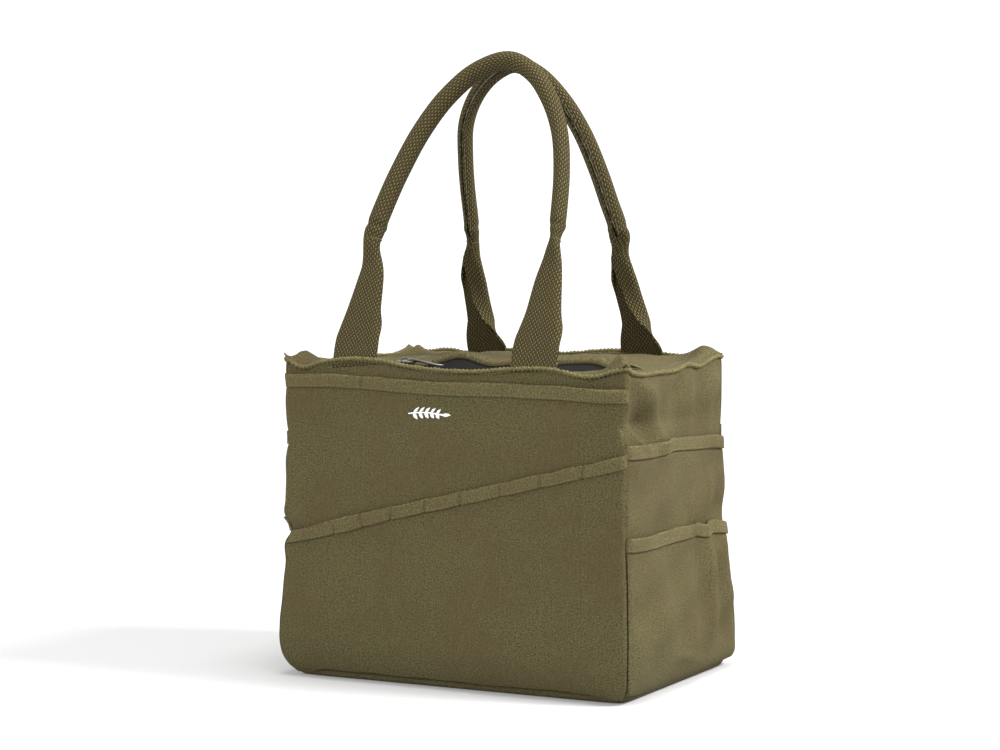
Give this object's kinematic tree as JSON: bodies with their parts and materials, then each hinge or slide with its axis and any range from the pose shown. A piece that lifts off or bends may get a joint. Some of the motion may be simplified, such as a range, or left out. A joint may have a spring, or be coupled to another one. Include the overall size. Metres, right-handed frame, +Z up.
{
  "type": "garden tool bag",
  "caption": "Boxed canvas tool bag with a slanted row of front tool pockets, side and inner pockets, a zipped top and two rolled webbing handles.",
  "frame": {"origin": "on the floor under the middle of the bag", "axes": "+Z up, +X to the right along the front, +Y from the front (slanted pockets) to the rear"},
  "size_m": [0.308, 0.226, 0.5207],
  "materials": {
    "canvas": "matt coarse canvas",
    "webbing": "matt basket-weave cotton webbing",
    "lining": "matt black cloth",
    "thread": "matt sewing thread",
    "core": "twisted cotton rope",
    "base_board": "matt stiffener board",
    "zip_tape": "woven tape",
    "zip_teeth": "moulded nylon teeth",
    "zip_metal": "polished nickel"
  },
  "bodies": {
    "bag": {"base_board": "base_board", "base_lining": "lining", "base_panel": "canvas", "front_lining": "lining", "front_panel": "canvas", "front_slanted_pocket": "canvas", "front_slanted_pocket_hem": "canvas", "front_strap_tail_left": "webbing", "front_strap_tail_right": "webbing", "front_tall_pocket": "canvas", "front_tall_pocket_hem": "canvas", "front_top_edge": "canvas", "inner_front_pocket": "lining", "inner_front_pocket_hem": "lining", "inner_rear_pocket": "lining", "inner_rear_pocket_hem": "lining", "left_lining": "lining", "left_lower_pocket": "canvas", "left_lower_pocket_hem": "canvas", "left_panel": "canvas", "left_top_edge": "canvas", "left_top_end": "canvas", "left_upper_pocket": "canvas", "left_upper_pocket_hem": "canvas", "rear_lining": "lining", "rear_panel": "canvas", "rear_sleeve_pocket": "canvas", "rear_sleeve_pocket_hem": "canvas", "rear_strap_tail_left": "webbing", "rear_strap_tail_right": "webbing", "rear_top_edge": "canvas", "right_lining": "lining", "right_lower_pocket": "canvas", "right_lower_pocket_hem": "canvas", "right_panel": "canvas", "right_top_edge": "canvas", "right_top_end": "canvas", "right_upper_pocket": "canvas", "right_upper_pocket_hem": "canvas", "zip_bottom_stop": "zip_metal", "zip_tape_tail_left": "zip_tape", "zip_tape_tail_right": "zip_tape", "zip_top_stop": "zip_metal"},
    "front_handle": {"front_handle_core": "core", "front_handle_stitching": "thread", "front_handle_webbing": "webbing"},
    "rear_handle": {"rear_handle_core": "core", "rear_handle_stitching": "thread", "rear_handle_webbing": "webbing"},
    "front_lip": {"front_lip": "canvas", "front_zip_tape": "zip_tape", "front_zip_teeth": "zip_teeth"},
    "rear_lip": {"rear_lip": "canvas", "rear_zip_tape": "zip_tape", "rear_zip_teeth": "zip_teeth"},
    "zip_slider": {"zip_slider": "zip_metal"},
    "zip_pull": {"zip_pull": "zip_metal"}
  },
  "joints": [
    {"name": "front_handle_swing", "type": "hinge", "parent": "bag", "child": "front_handle", "pos_m": [0, -0.1, 0.26], "axis": [1, 0, 0], "range_deg": [0, 150]},
    {"name": "rear_handle_swing", "type": "hinge", "parent": "bag", "child": "rear_handle", "pos_m": [0, 0.1, 0.26], "axis": [-1, 0, 0], "range_deg": [0, 150]},
    {"name": "front_lip_fold", "type": "hinge", "parent": "bag", "child": "front_lip", "pos_m": [0, -0.0952, 0.2585], "axis": [1, 0, 0], "range_deg": [0, 80]},
    {"name": "rear_lip_fold", "type": "hinge", "parent": "bag", "child": "rear_lip", "pos_m": [0, 0.0952, 0.2585], "axis": [-1, 0, 0], "range_deg": [0, 64]},
    {"name": "zip_travel", "type": "slide", "parent": "bag", "child": "zip_slider", "axis": [1, 0, 0], "range_m": [0, 0.206]},
    {"name": "pull_swing", "type": "hinge", "parent": "zip_slider", "child": "zip_pull", "pos_m": [-0.098, 0, 0.261], "axis": [0, -1, 0], "range_deg": [0, 178]}
  ]
}
